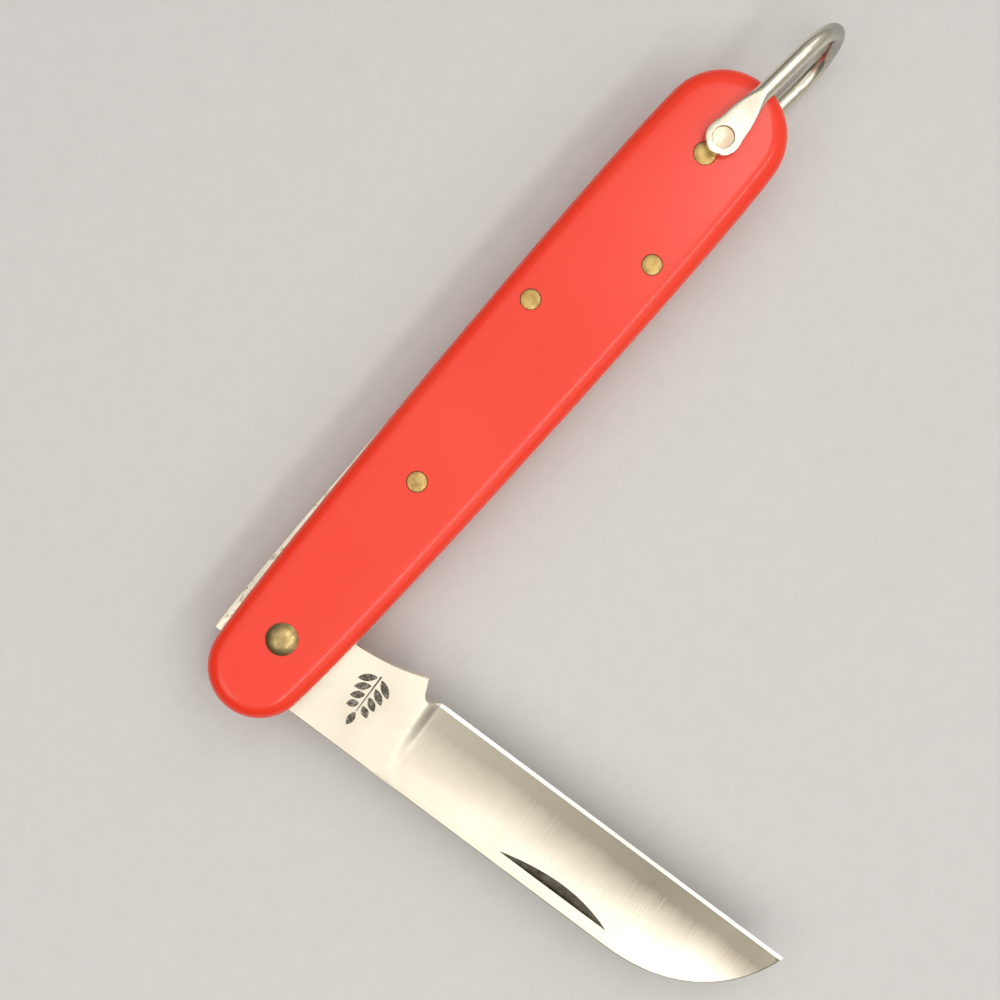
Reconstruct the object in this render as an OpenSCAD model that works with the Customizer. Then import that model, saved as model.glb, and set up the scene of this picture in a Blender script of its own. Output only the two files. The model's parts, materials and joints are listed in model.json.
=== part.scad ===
// Folding grafting knife: two red scales on metal liners, a backspring, a one-edge blade and a wire bail.
// Millimetres. The origin is the blade's pivot axis at mid thickness, +X runs along the handle to the bail,
// +Y points to the backspring side, and +Z points out through the front scale.

/* [Handle] */
// Length of the handle, end to end
handle_l = 99.65; // [97:0.05:103]
// Distance from the pivot end of the handle to the pivot axis
pivot_inset = 10.85; // [10.4:0.05:11.3]
// Radius of the rounded pivot end
pivot_end_r = 6.35; // [6.1:0.05:6.6]
// Radius of the rounded bail end
bail_end_r = 8; // [7.8:0.05:8.2]
// Angle between the handle's axis and its side where it leaves the pivot end
pivot_flare = 7; // [5:0.5:8]
// Angle between the handle's axis and its side where it meets the bail end
bail_flare = 5; // [4:0.5:6]
// How far the side keeps that direction at each end
side_pull = 12; // [10:0.5:14]

/* [Layers] */
// Thickness of the slot that holds the blade and the backspring
slot_t = 2.3; // [2.2:0.05:2.6]
// Thickness of each metal liner
liner_t = 0.7; // [0.5:0.05:0.9]
// Thickness of each plastic scale
scale_t = 3.2; // [2.8:0.05:3.6]
// Width of the rounded edge of a scale
edge_w = 2.2; // [1.6:0.1:2.4]
// Height of the rounded edge of a scale
edge_h = 1.8; // [1.2:0.1:2.2]

/* [Blade] */
// Thickness of the blade at its spine
blade_t = 2.2; // [2:0.05:2.2]
// Length of the blade from the pivot axis to the tip
blade_l = 72.7; // [71:0.1:73]
// Height of the straight spine over the pivot axis
spine_h = 7.15; // [6.9:0.05:7.4]
// Depth of the cutting edge under the pivot axis
edge_d = 4.7; // [4.4:0.05:4.9]
// Where the grind starts, from the pivot axis
plunge_x = 19; // [18.8:0.05:19.4]
// Half thickness that the grind leaves at the cutting edge
edge_half_t = 0.12; // [0.08:0.01:0.2]
// Angle between the handle's axis and the blade as shown, 180 is fully open
open_angle = 85.7; // [20:0.1:150]
// Angle at which the closed blade stands out of the handle
closed_angle = 6.2; // [6.2:0.1:6.6]

/* [Backspring] */
// How far the half-open blade lifts the spring's nose
nose_lift = 1.1; // [0.8:0.05:1.2]
// Distance from the pivot axis back to the spring's nose
nose_back = 4.8; // [4.6:0.05:5]
// Height of the spring's inner face over the pivot axis when relaxed
inner_h = 4.5; // [4.5:0.01:4.6]

/* [Pins] */
// Radius of the pivot pin
pivot_r = 1.5; // [1.4:0.05:1.6]
// Radius of the pivot pin's domed heads
pivot_head_r = 2; // [1.9:0.05:2.2]
// Height of the domed heads
pivot_head_h = 0.75; // [0.6:0.05:0.9]
// Radius of the short pins that hold a scale to its liner, and of the spring pin
scale_pin_r = 1.25; // [1.1:0.05:1.35]
// Radius of the pin through the bail end of the handle
end_pin_r = 1.4; // [1.3:0.05:1.45]
// Radius of the pin that the bail turns on
bail_pin_r = 1; // [0.9:0.05:1.05]

/* [Bail] */
// Radius of the bail's wire
wire_r = 1.05; // [0.95:0.05:1.1]
// Distance from the bail's pin to the middle of the wire at the top of the loop
bail_l = 20.2; // [19:0.1:22]
// Radius of the flattened eye at each end of the bail
eye_r = 2.2; // [2.1:0.05:2.3]
// Thickness of that eye
eye_t = 1.4; // [1.2:0.05:1.5]
// Angle of the bail from the handle's axis as shown
bail_angle = -4.5; // [-20:0.5:20]
// How far each leg of the bail stands to one side of their middle, because the loop is twisted a little
leg_offset = 0.95; // [0:0.05:1.2]
// How far the whole loop is bent sideways from its eyes
loop_shift = -0.5; // [-0.6:0.05:0.6]

/* [Hidden] */
smooth = 64;
curve_steps = 16;
seat_gap = 0.01;    // around a pin that is riveted tight
run_gap = 0.04;     // around a pin that something turns on
face_gap = 0.05;    // between faces that slide on each other
through = 40;       // longer than anything a hole goes through
skin = 0.01;        // thickness of the thin slices that a hull joins, and a step between joined wires
boss_r = 2.5;       // half width of the spring's boss round its pin
block_l = 3.4;      // from the end pin to the front of the spring's block
block_d = 3.1;      // how far that block reaches below the handle's axis
waist_d = 1;        // how much thicker the spring is between boss and block
bail_head_r = 1.3;
bail_head_h = 0.4;

// Heights of the layers above the middle plane
liner_z = slot_t / 2;
scale_z = liner_z + liner_t;
face_z = scale_z + scale_t;

// Centres of the handle's end arcs, and the places of the pins
pivot_end_x = pivot_end_r - pivot_inset;
bail_end_x = handle_l - pivot_inset - bail_end_r;
fore_pin = [24.9, 0.2];
spring_pin_at = [50.4, 4.3];
aft_pin = [63.1, -4];
end_pin_at = [bail_end_x - 3.4, 0];
bail_pin_at = [bail_end_x - 0.85, -0.45];

// The tang's two flats meet the relaxed spring, and its rounded end lifts the spring between them
flat_gap = 0.02;
tang_flat = inner_h - flat_gap;
tang_r = tang_flat + lift(0);

// A cubic curve through p[0] and p[3]
function bezier(p, t) =
    pow(1 - t, 3) * p[0] + 3 * t * pow(1 - t, 2) * p[1]
    + 3 * t * t * (1 - t) * p[2] + pow(t, 3) * p[3];
function curve(p) = [for (i = [0 : curve_steps]) bezier(p, i / curve_steps)];
function arc(x, r, from, to) =
    [
        for (i = [0 : curve_steps])
            let (a = from + (to - from) * i / curve_steps)
            [x + r * cos(a), r * sin(a)]
    ];
function turned(p, a) = [p.x * cos(a) - p.y * sin(a), p.x * sin(a) + p.y * cos(a)];

// The spring bends as a bar that is held at the spring pin and pushed at its nose
function lift(x) =
    let (l = spring_pin_at.x + nose_back, s = max(0, spring_pin_at.x - x))
    nose_lift * (3 * s * s * l - s * s * s) / (2 * l * l * l);

// The back half of the handle's outline, from the bail end round to the pivot end
back_side = let (
        a = [bail_end_x + bail_end_r * sin(bail_flare), bail_end_r * cos(bail_flare)],
        b = [pivot_end_x - pivot_end_r * sin(pivot_flare), pivot_end_r * cos(pivot_flare)]
    ) [
        a,
        a + side_pull * [-cos(bail_flare), sin(bail_flare)],
        b + side_pull * [cos(pivot_flare), sin(pivot_flare)],
        b
    ];
back_half = concat(
    arc(bail_end_x, bail_end_r, 0, 90 - bail_flare),
    curve(back_side),
    arc(pivot_end_x, pivot_end_r, 90 + pivot_flare, 180)
);

module handle_outline() {
    polygon(concat(back_half, [for (i = [len(back_half) - 1 : -1 : 0]) [back_half[i].x, -back_half[i].y]]));
}

module hole(at, r) {
    translate([at.x, at.y, -through / 2])
        cylinder(r = r, h = through, $fn = smooth);
}

// The holes that every layer of the handle shares
module rivet_holes() {
    hole([0, 0], pivot_r + seat_gap);
    hole(spring_pin_at, scale_pin_r + seat_gap);
    hole(end_pin_at, end_pin_r + seat_gap);
    hole(bail_pin_at, bail_pin_r + seat_gap);
}

module scale_pin_holes() {
    hole(fore_pin, scale_pin_r + seat_gap);
    hole(aft_pin, scale_pin_r + seat_gap);
}

// A spherical cap of radius r and height h, its flat side down
module dome(r, h) {
    ball_r = (r * r + h * h) / (2 * h);
    intersection() {
        translate([0, 0, h - ball_r])
            sphere(r = ball_r, $fn = smooth);
        cylinder(r = r, h = h, $fn = smooth);
    }
}

// One scale, its outer face up and its edge rounded by an ellipse
module scale_half() {
    difference() {
        translate([0, 0, scale_z])
            hull() {
                linear_extrude(scale_t - edge_h)
                    handle_outline();
                for (a = [18 : 18 : 90])
                    translate([0, 0, scale_t - edge_h * (1 - sin(a)) - skin])
                        linear_extrude(skin)
                            offset(delta = -edge_w * (1 - cos(a)))
                                handle_outline();
            }
        rivet_holes();
        scale_pin_holes();
    }
}

module liner_half() {
    difference() {
        translate([0, 0, liner_z])
            linear_extrude(liner_t)
                handle_outline();
        rivet_holes();
        scale_pin_holes();
    }
}

module front_scale() {
    color([0.86, 0.05, 0.05])
        scale_half();
}

module rear_scale() {
    color([0.86, 0.05, 0.05])
        mirror([0, 0, 1])
            scale_half();
}

module front_liner() {
    color([0.78, 0.78, 0.76])
        liner_half();
}

module rear_liner() {
    color([0.78, 0.78, 0.76])
        mirror([0, 0, 1])
            liner_half();
}

// The side of the handle that the spring leaves free: the blade's well, with a boss round the spring pin
// and a solid block round the end pin and the bail pin
module blade_well() {
    well_x = -16;
    arm_end_x = 44;
    block_x = end_pin_at.x - block_l;
    ramp_l = 4;
    step_y = 1;
    draft = 0.3;
    polygon(concat(
        [for (x = [well_x : 4 : arm_end_x]) [x, inner_h + lift(x)]],
        [
            [spring_pin_at.x - boss_r, spring_pin_at.y - boss_r],
            [spring_pin_at.x + boss_r, spring_pin_at.y - boss_r],
            [spring_pin_at.x + 3 * boss_r, inner_h - waist_d],
            [block_x - ramp_l, inner_h - waist_d],
            [block_x, step_y],
            [block_x + draft, -block_d],
            [handle_l, -block_d],
            [handle_l, -handle_l],
            [well_x, -handle_l]
        ]
    ));
}

module backspring() {
    color([0.72, 0.71, 0.68])
        difference() {
            translate([0, 0, -slot_t / 2])
                linear_extrude(slot_t)
                    difference() {
                        polygon(concat(
                            [for (p = back_half) [p.x, p.y + lift(p.x)]],
                            [for (i = [len(back_half) - 1 : -1 : 0]) [back_half[i].x, -back_half[i].y]]
                        ));
                        blade_well();
                        translate([-nose_back - handle_l, -handle_l / 2])
                            square(handle_l);
                    }
            rivet_holes();
        }
}

// The tang's end: a round cam with one flat for the open blade and one for the closed blade
module tang_end() {
    intersection() {
        circle(r = tang_r, $fn = smooth);
        translate([-tang_r, -tang_flat])
            square(2 * tang_r);
        rotate(closed_angle)
            translate([-tang_r, tang_flat - 2 * tang_r])
                square(2 * tang_r);
    }
}

// The blade's outline: x from the pivot axis to the tip, y from the spine to the cutting edge
module blade_outline() {
    stop_x = nose_back + face_gap;
    drop = [54, -spine_h];
    drop_pull = [10, 0];
    tip = [blade_l, edge_d - 0.1];
    tip_pull = [-2.2, -6.4];
    notch = [[1.2, 0], [-0.1, -0.75], [-0.8, -0.7]];
    kick = [17, 6.35];
    tang_pulls = [[0, 0], [-3.5, -1.45], [-7, -1.95], [-10.5, -2.1]];
    flat_ends = [2.5, tang_flat * tan(closed_angle)];
    polygon(concat(
        [[0, -tang_flat], [stop_x, -tang_flat], [stop_x, -spine_h]],
        curve([drop, drop + drop_pull, tip + tip_pull, tip]),
        [for (p = notch) [plunge_x, edge_d] + p],
        curve([for (p = tang_pulls) kick + p]),
        [for (x = flat_ends) turned([x, tang_flat], closed_angle)]
    ));
    tang_end();
}

// What the grind takes from the front face, as a wedge that starts near the spine
module grind_cut() {
    flat_w = 0.6;
    top_y = flat_w - spine_h;
    slope = atan((blade_t / 2 - edge_half_t) / (edge_d - top_y));
    translate([plunge_x, top_y, blade_t / 2])
        rotate([-slope, 0, 0])
            cube([blade_l, 3 * spine_h, blade_t]);
}

// The thumbnail's notch: a shallow segment of a disc, straight on the spine side
module nail_nick() {
    nick_l = 15.8;
    nick_w = 1.75;
    nick_x = 44.9;
    rib_w = 1.65;
    nick_y = rib_w - spine_h;
    floor_z = 0.5;
    r = (nick_l * nick_l / 4 + nick_w * nick_w) / (2 * nick_w);
    translate([0, 0, floor_z])
        linear_extrude(blade_t)
            intersection() {
                translate([nick_x, nick_y + nick_w - r])
                    circle(r = r, $fn = 4 * smooth);
                translate([nick_x - nick_l, nick_y])
                    square(2 * nick_l);
            }
}

module blade() {
    color([0.80, 0.79, 0.75])
        rotate(-open_angle)
            difference() {
                translate([0, 0, -blade_t / 2])
                    linear_extrude(blade_t)
                        blade_outline();
                hole([0, 0], pivot_r + run_gap);
                grind_cut();
                mirror([0, 0, 1])
                    grind_cut();
                nail_nick();
            }
}

// A pin that ends flush with both scales
module flush_pin(at, r) {
    translate([at.x, at.y, -face_z])
        cylinder(r = r, h = 2 * face_z, $fn = smooth);
}

// A pin through both scales with a domed head at each end, the heads' flat sides at height z
module headed_pin(at, r, head_r, head_h, z) {
    translate([at.x, at.y, -z])
        cylinder(r = r, h = 2 * z, $fn = smooth);
    for (side = [0, 1])
        mirror([0, 0, side])
            translate([at.x, at.y, z])
                dome(head_r, head_h);
}

// A short pin through one scale and its liner, flush at both ends
module scale_pin(at, side) {
    mirror([0, 0, side])
        translate([at.x, at.y, liner_z])
            cylinder(r = scale_pin_r, h = face_z - liner_z, $fn = smooth);
}

module pivot_pin() {
    color([0.60, 0.50, 0.27])
        headed_pin([0, 0], pivot_r, pivot_head_r, pivot_head_h, face_z);
}

module spring_pin() {
    color([0.78, 0.66, 0.38])
        flush_pin(spring_pin_at, scale_pin_r);
}

module end_pin() {
    color([0.78, 0.66, 0.38])
        flush_pin(end_pin_at, end_pin_r);
}

module bail_pin() {
    color([0.82, 0.80, 0.76])
        headed_pin(bail_pin_at, bail_pin_r, bail_head_r, bail_head_h, face_z + eye_t + 2 * face_gap);
}

module front_scale_pin_fore() {
    color([0.78, 0.66, 0.38])
        scale_pin(fore_pin, 0);
}

module front_scale_pin_aft() {
    color([0.78, 0.66, 0.38])
        scale_pin(aft_pin, 0);
}

module rear_scale_pin_fore() {
    color([0.78, 0.66, 0.38])
        scale_pin(fore_pin, 1);
}

module rear_scale_pin_aft() {
    color([0.78, 0.66, 0.38])
        scale_pin(aft_pin, 1);
}

// One leg of the bail on the +Z side: a flat eye and its tapering plate, a cone that swells out of the plate,
// and the straight wire, which ends just inside the loop's arch
module bail_leg(leg_y, leg_l) {
    wire_z = face_z + 2 * face_gap + wire_r;
    spoon_l = 6.4;
    rim_w = 0.15;
    plate_end_r = 0.8;
    cone_from = 2;
    cone_r = 0.3;
    lap = 0.25;
    difference() {
        union() {
            translate([0, 0, face_z + face_gap])
                cylinder(r = eye_r, h = eye_t, $fn = smooth);
            translate([0, 0, face_z + 2 * face_gap])
                linear_extrude(eye_t - 2 * face_gap)
                    polygon([
                        [0, rim_w - eye_r],
                        [spoon_l, leg_y - plate_end_r],
                        [spoon_l, leg_y + plate_end_r],
                        [0, eye_r - rim_w]
                    ]);
        }
        hole([0, 0], bail_pin_r + run_gap);
    }
    translate([0, leg_y, wire_z])
        rotate([0, 90, 0]) {
            translate([0, 0, cone_from])
                cylinder(r1 = cone_r, r2 = wire_r - 2 * skin, h = spoon_l - cone_from, $fn = smooth);
            translate([0, 0, spoon_l - lap])
                cylinder(r = wire_r - skin, h = leg_l - spoon_l + 2 * lap, $fn = smooth);
        }
}

module bail() {
    wire_z = face_z + 2 * face_gap + wire_r;
    arch_r = norm([leg_offset, wire_z]);
    arch_x = bail_l - arch_r;
    tilt = atan(leg_offset / wire_z);
    color([0.82, 0.80, 0.76])
        translate([bail_pin_at.x, bail_pin_at.y, 0])
            rotate(bail_angle) {
                bail_leg(loop_shift + leg_offset, arch_x);
                mirror([0, 0, 1])
                    bail_leg(loop_shift - leg_offset, arch_x);
                translate([arch_x, loop_shift, 0])
                    rotate([-tilt, 0, 0])
                        rotate(a = -120, v = [1, 1, 1])
                            rotate_extrude(angle = 180, $fn = smooth)
                                translate([arch_r, 0])
                                    circle(r = wire_r, $fn = smooth);
            }
}

front_scale();
rear_scale();
front_liner();
rear_liner();
backspring();
blade();
pivot_pin();
spring_pin();
end_pin();
bail_pin();
front_scale_pin_fore();
front_scale_pin_aft();
rear_scale_pin_fore();
rear_scale_pin_aft();
bail();
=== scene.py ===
"""The looks of a folding grafting knife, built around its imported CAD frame.

Lengths in this script are in millimetres until a mesh is made, and MM turns them into metres.
The row frame has its origin on the blade's pivot, +X along the handle to the bail, +Y to the backspring
and +Z out through the front scale. The blade's own frame has x from the pivot to the tip and y from the
spine to the cutting edge.
"""

import json
import math

import bpy
import bmesh
import numpy as np
from mathutils import Matrix, Vector
from mathutils.geometry import delaunay_2d_cdt


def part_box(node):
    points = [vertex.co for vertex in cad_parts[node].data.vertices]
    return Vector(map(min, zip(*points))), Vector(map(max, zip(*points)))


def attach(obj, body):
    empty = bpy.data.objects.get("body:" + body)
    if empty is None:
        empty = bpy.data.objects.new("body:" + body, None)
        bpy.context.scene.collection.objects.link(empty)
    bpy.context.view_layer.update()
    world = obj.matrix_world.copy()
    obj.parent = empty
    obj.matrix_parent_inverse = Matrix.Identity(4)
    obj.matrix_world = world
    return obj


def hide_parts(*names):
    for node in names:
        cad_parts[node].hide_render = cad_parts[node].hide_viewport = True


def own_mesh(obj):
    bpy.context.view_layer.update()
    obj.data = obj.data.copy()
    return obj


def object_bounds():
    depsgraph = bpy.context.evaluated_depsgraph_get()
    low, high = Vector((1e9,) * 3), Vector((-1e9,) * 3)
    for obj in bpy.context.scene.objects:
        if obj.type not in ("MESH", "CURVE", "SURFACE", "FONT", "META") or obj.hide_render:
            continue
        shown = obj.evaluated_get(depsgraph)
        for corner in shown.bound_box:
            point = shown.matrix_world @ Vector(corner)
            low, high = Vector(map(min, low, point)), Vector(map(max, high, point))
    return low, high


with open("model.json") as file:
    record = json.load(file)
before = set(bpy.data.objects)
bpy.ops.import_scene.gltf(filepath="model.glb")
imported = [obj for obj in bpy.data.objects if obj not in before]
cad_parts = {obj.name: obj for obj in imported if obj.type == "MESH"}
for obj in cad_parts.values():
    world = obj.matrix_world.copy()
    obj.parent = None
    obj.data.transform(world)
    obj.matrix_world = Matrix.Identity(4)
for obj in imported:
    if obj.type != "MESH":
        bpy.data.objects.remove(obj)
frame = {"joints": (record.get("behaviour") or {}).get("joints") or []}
cad_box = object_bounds()

MM = 0.001
UP = Vector((0, 0, 1))

# Edges sharper than this many degrees keep their crease, on flat pieces and on turned ones
SHARP_DEG = 30
TURNED_SHARP_DEG = 35


# ---------------------------------------------------------------- sizes that the frame gives


def box_mm(node):
    """A CAD node's lowest and highest corner, in millimetres."""
    low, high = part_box(node)
    return low / MM, high / MM


def pin_place(node):
    """The centre and the radius of an upright pin."""
    low, high = box_mm(node)
    return Vector(((low.x + high.x) / 2, (low.y + high.y) / 2)), (high.x - low.x) / 2


def joint(name):
    return next(j for j in frame["joints"] if j["name"] == name)


HANDLE_LOW, HANDLE_HIGH = box_mm("front_liner")
LINER_Z = HANDLE_LOW.z
SCALE_Z = box_mm("front_scale")[0].z
FACE_Z = box_mm("front_scale")[1].z
BLADE_T = 2 * box_mm("blade")[1].z
SLOT_T = 2 * box_mm("backspring")[1].z
BAIL_TOP_Z = box_mm("bail")[1].z

# The fully open blade points along -X, and the joint's low limit says how far it still has to turn.
BLADE_ANGLE = -180 - joint("blade_fold")["range_deg"][0]
BAIL_PIN = Vector(joint("bail_swing")["pos_m"]) / MM

# ---------------------------------------------------------------- sizes that only the looks need

# The handle's outline: its two end arcs, and the direction in which each side leaves them
PIVOT_END_R = 6.35
BAIL_END_R = 8.0
PIVOT_FLARE = math.radians(7)
BAIL_FLARE = math.radians(5)
SIDE_PULL = 12.0
LINER_PROUD = 0.03

# A scale's edge is a quarter ellipse, and its face is crowned by a hair
EDGE_W = 2.3
EDGE_H = 1.7
CROWN = 0.10
CROWN_INSET = 6.0

# The blade, in its own frame
BLADE_L = 72.7
SPINE_Y = -7.15
EDGE_Y = 4.7
BEVEL_W = 0.46
GRIND_TOP_Y = SPINE_Y + 0.75
PLUNGE_X = 18.5
PLUNGE_LEAN = 0.02
PLUNGE_W = 2.0
EDGE_HALF_T = 0.17
HOLLOW = 0.13
SPINE_ROUND = 0.16
TANG_FLAT = 4.48
TANG_R = 5.44
STOP_X = 4.85
CLOSED_ANGLE = math.radians(6.2)

# The backspring: the shape of a bar that is held at the spring pin and lifted at its nose
NOSE_X = -4.8
NOSE_LIFT = 1.1
SPRING_INNER = 4.5
FLEX_SPLIT_X = 34.0

# The bail's wire and its hammered eyes
WIRE_R = 1.05
BAIL_L = 20.2
BAIL_ANGLE = math.radians(-4.5)
LEG_OFFSET = 0.95
LOOP_SHIFT = -0.5
EYE_R = 2.2
EYE_T = 1.4

# Pins
PIVOT_SHANK_R = 1.5
BAIL_SHANK_R = 1.0
RECESS_R = 1.42
DIMPLE = 0.45

FLOOR_GAP = 0.05


# ---------------------------------------------------------------- curves


def bezier(points, t):
    a, b, c, d = points
    s = 1 - t
    return s**3 * a + 3 * s * s * t * b + 3 * s * t * t * c + t**3 * d


def curve(points, steps):
    return [bezier([Vector(p) for p in points], i / steps) for i in range(steps + 1)]


def arc(centre, radius, start, end, steps):
    """Points on a circle, with the angles in radians."""
    angles = [start + (end - start) * i / steps for i in range(steps + 1)]
    return [Vector((centre[0] + radius * math.cos(a), centre[1] + radius * math.sin(a))) for a in angles]


def turned(point, angle):
    return Matrix.Rotation(angle, 2) @ Vector(point)


def smooth_step(t):
    t = min(1.0, max(0.0, t))
    return t * t * (3 - 2 * t)


def back_side():
    """The +Y half of the handle's outline, from the bail end round to the pivot end."""
    bail_x = HANDLE_HIGH.x - BAIL_END_R
    pivot_x = HANDLE_LOW.x + PIVOT_END_R
    right = math.pi / 2
    bail_arc = arc((bail_x, 0), BAIL_END_R, 0, right - BAIL_FLARE, 36)
    pivot_arc = arc((pivot_x, 0), PIVOT_END_R, right + PIVOT_FLARE, math.pi, 32)
    start, end = bail_arc[-1], pivot_arc[0]
    start_pull = start + SIDE_PULL * Vector((-math.cos(BAIL_FLARE), math.sin(BAIL_FLARE)))
    end_pull = end + SIDE_PULL * Vector((math.cos(PIVOT_FLARE), math.sin(PIVOT_FLARE)))
    side = curve([start, start_pull, end_pull, end], 90)
    return bail_arc + side[1:-1] + pivot_arc


def handle_outline():
    back = back_side()
    return back + [Vector((p.x, -p.y)) for p in reversed(back[1:-1])]


def inset(outline, distance):
    """The closed outline, which runs anticlockwise, moved inwards along its normals."""
    moved = []
    for i, p in enumerate(outline):
        before, after = outline[i - 1], outline[(i + 1) % len(outline)]
        a, b = (p - before).normalized(), (after - p).normalized()
        normal = Vector((-(a.y + b.y), a.x + b.x)).normalized()
        stretch = 1 / max(0.5, normal.dot(Vector((-a.y, a.x))))
        moved.append(p + normal * distance * stretch)
    return moved


def spring_lift(x, clamp_x):
    """How far the half-open blade pushes the backspring outwards."""
    length = clamp_x - NOSE_X
    s = max(0.0, clamp_x - x)
    return NOSE_LIFT * (3 * s * s * length - s**3) / (2 * length**3)


# ---------------------------------------------------------------- meshes


def finish_mesh(name, bm, sharp_deg=SHARP_DEG):
    """Makes an object of a bmesh in millimetres, smooth but for its edges sharper than sharp_deg."""
    bmesh.ops.recalc_face_normals(bm, faces=bm.faces)
    bmesh.ops.scale(bm, vec=(MM, MM, MM), verts=bm.verts)
    mesh = bpy.data.meshes.new(name)
    bm.to_mesh(mesh)
    bm.free()
    mesh.shade_smooth()
    mesh.set_sharp_from_angle(angle=math.radians(sharp_deg))
    obj = bpy.data.objects.new(name, mesh)
    bpy.context.scene.collection.objects.link(obj)
    return obj


def skin_rings(bm, rings):
    """Quads between rings of equal length, and a cap on the first and the last."""
    loops = [[bm.verts.new(p) for p in ring] for ring in rings]
    count = len(loops[0])
    for low, high in zip(loops, loops[1:]):
        for i in range(count):
            j = (i + 1) % count
            bm.faces.new((low[i], low[j], high[j], high[i]))
    bm.faces.new(list(reversed(loops[0])))
    bm.faces.new(loops[-1])


def lifted(points, z):
    return [Vector((p.x, p.y, z)) for p in points]


def plate(name, outline, low_z, high_z, round_r):
    """A flat plate with a softened edge all round."""
    half = round_r * (1 - math.sqrt(0.5))
    rings = [
        lifted(inset(outline, round_r), low_z),
        lifted(inset(outline, half), low_z + half),
        lifted(outline, low_z + round_r),
        lifted(outline, high_z - round_r),
        lifted(inset(outline, half), high_z - half),
        lifted(inset(outline, round_r), high_z),
    ]
    bm = bmesh.new()
    skin_rings(bm, rings)
    return finish_mesh(name, bm)


def lathe(name, profile, centre, steps=72):
    """A solid of revolution about an upright axis.

    Its profile is a list of (radius, z) from the lower pole to the upper.
    """
    bm = bmesh.new()
    rings = [
        [Vector((centre.x + r * math.cos(a), centre.y + r * math.sin(a), z))
         for a in (2 * math.pi * i / steps for i in range(steps))]
        for r, z in profile
    ]
    skin_rings(bm, rings)
    return finish_mesh(name, bm, TURNED_SHARP_DEG)


def cut(obj, cutter, overlapping=False):
    """Takes the cutter's solid out of obj, and deletes the cutter, whose own shells may be overlapping."""
    modifier = obj.modifiers.new("cut", "BOOLEAN")
    modifier.operation = "DIFFERENCE"
    modifier.solver = "EXACT"
    modifier.object = cutter
    modifier.use_self = overlapping
    evaluated = obj.evaluated_get(bpy.context.evaluated_depsgraph_get())
    mesh = bpy.data.meshes.new_from_object(evaluated)
    obj.modifiers.clear()
    old = obj.data
    obj.data = mesh
    bpy.data.meshes.remove(old)
    bpy.data.objects.remove(cutter)
    mesh.name = obj.name
    bm = bmesh.new()
    bm.from_mesh(mesh)
    bmesh.ops.remove_doubles(bm, verts=bm.verts, dist=0.0005 * MM)
    bmesh.ops.dissolve_degenerate(bm, edges=bm.edges, dist=0.0005 * MM)
    bm.to_mesh(mesh)
    bm.free()
    mesh.shade_smooth()
    mesh.set_sharp_from_angle(angle=math.radians(SHARP_DEG))


def drill(obj, places, low_z=-20, high_z=20):
    """Drills an upright round hole at each (centre, radius)."""
    for centre, radius in places:
        cut(obj, lathe("drill", [(radius, low_z), (radius, high_z)], centre))
    return obj


def mirrored_z(obj, name):
    """A copy of obj on the other side of the knife's middle plane."""
    copy = obj.copy()
    copy.data = obj.data.copy()
    copy.name = copy.data.name = name
    bpy.context.scene.collection.objects.link(copy)
    copy.data.transform(Matrix.Scale(-1, 4, UP))
    copy.data.flip_normals()
    return copy


# ---------------------------------------------------------------- materials


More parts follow.
